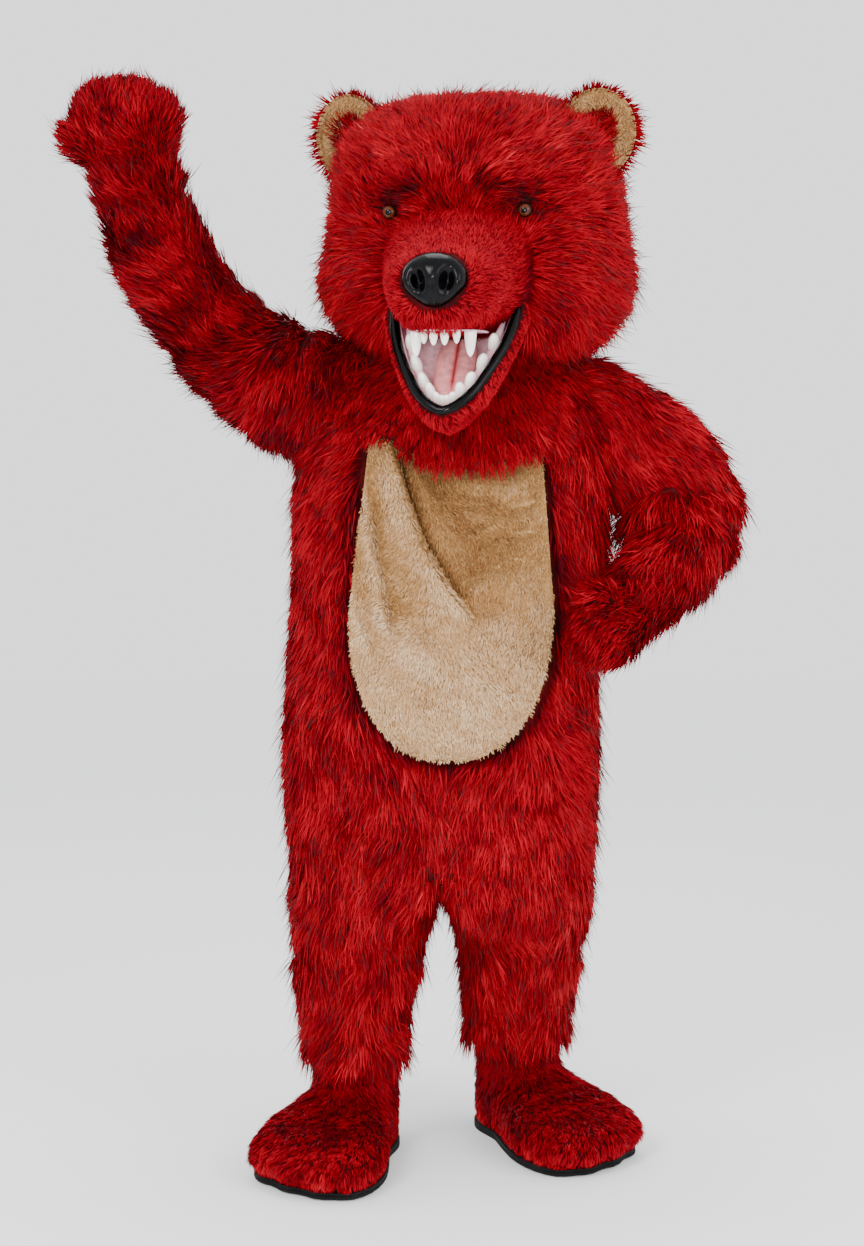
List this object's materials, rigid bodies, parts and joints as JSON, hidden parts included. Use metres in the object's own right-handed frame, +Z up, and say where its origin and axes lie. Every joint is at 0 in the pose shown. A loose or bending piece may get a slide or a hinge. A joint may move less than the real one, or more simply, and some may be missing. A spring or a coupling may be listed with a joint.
{
  "type": "bear mascot costume",
  "caption": "Full-body red fur bear mascot costume with a tan belly panel, open-mouthed head, mitts and feet, shaped as it is worn with one arm raised.",
  "frame": {"origin": "between the wearer's shoulders, inside the suit, 1.42 m above the floor, where the wearer carries it", "axes": "+Z up; the costume faces -Y, and its raised right arm is on the -X side"},
  "size_m": [1.2317, 0.6996, 1.9493],
  "materials": {
    "red_fur": "long pile, matt",
    "head_fur": "long pile, matt",
    "tan_plush": "short pile, soft sheen",
    "black_rubber": "glossy",
    "pink_rubber": "satin",
    "tongue_rubber": "satin",
    "teeth": "glossy",
    "eyes": "glossy",
    "zip_tape": "woven, matt",
    "zip_metal": "satin",
    "sole": "matt"
  },
  "bodies": {
    "root": {"suit_front": "red_fur", "belly_panel": "tan_plush", "suit_back_right": "red_fur", "suit_back_left": "red_fur", "zip_tape": "zip_tape", "zip_slider": "zip_metal", "leg_right_back": "red_fur", "leg_right_front": "red_fur", "leg_left_back": "red_fur", "leg_left_front": "red_fur", "sleeve_right_back": "red_fur", "sleeve_right_front": "red_fur", "sleeve_left_back": "red_fur", "sleeve_left_front": "red_fur", "mitt_right": "red_fur", "thumb_right": "red_fur", "mitt_left": "red_fur", "thumb_left": "red_fur", "foot_right_upper": "red_fur", "foot_right_sole": "sole", "foot_left_upper": "red_fur", "foot_left_sole": "sole", "neck_flap_front": "head_fur", "neck_flap_back": "head_fur", "eye_right": "eyes", "eye_left": "eyes", "head_back": "head_fur", "head_face": "head_fur", "muzzle": "head_fur", "jaw": "head_fur", "lips": "black_rubber", "mouth_lining": "pink_rubber", "palate": "pink_rubber", "upper_teeth": "teeth", "lower_gum": "pink_rubber", "lower_teeth": "teeth", "tongue": "tongue_rubber", "nose": "black_rubber", "ear_right_back": "red_fur", "ear_right_inner": "tan_plush", "ear_left_back": "red_fur", "ear_left_inner": "tan_plush"}
  },
  "joints": []
}
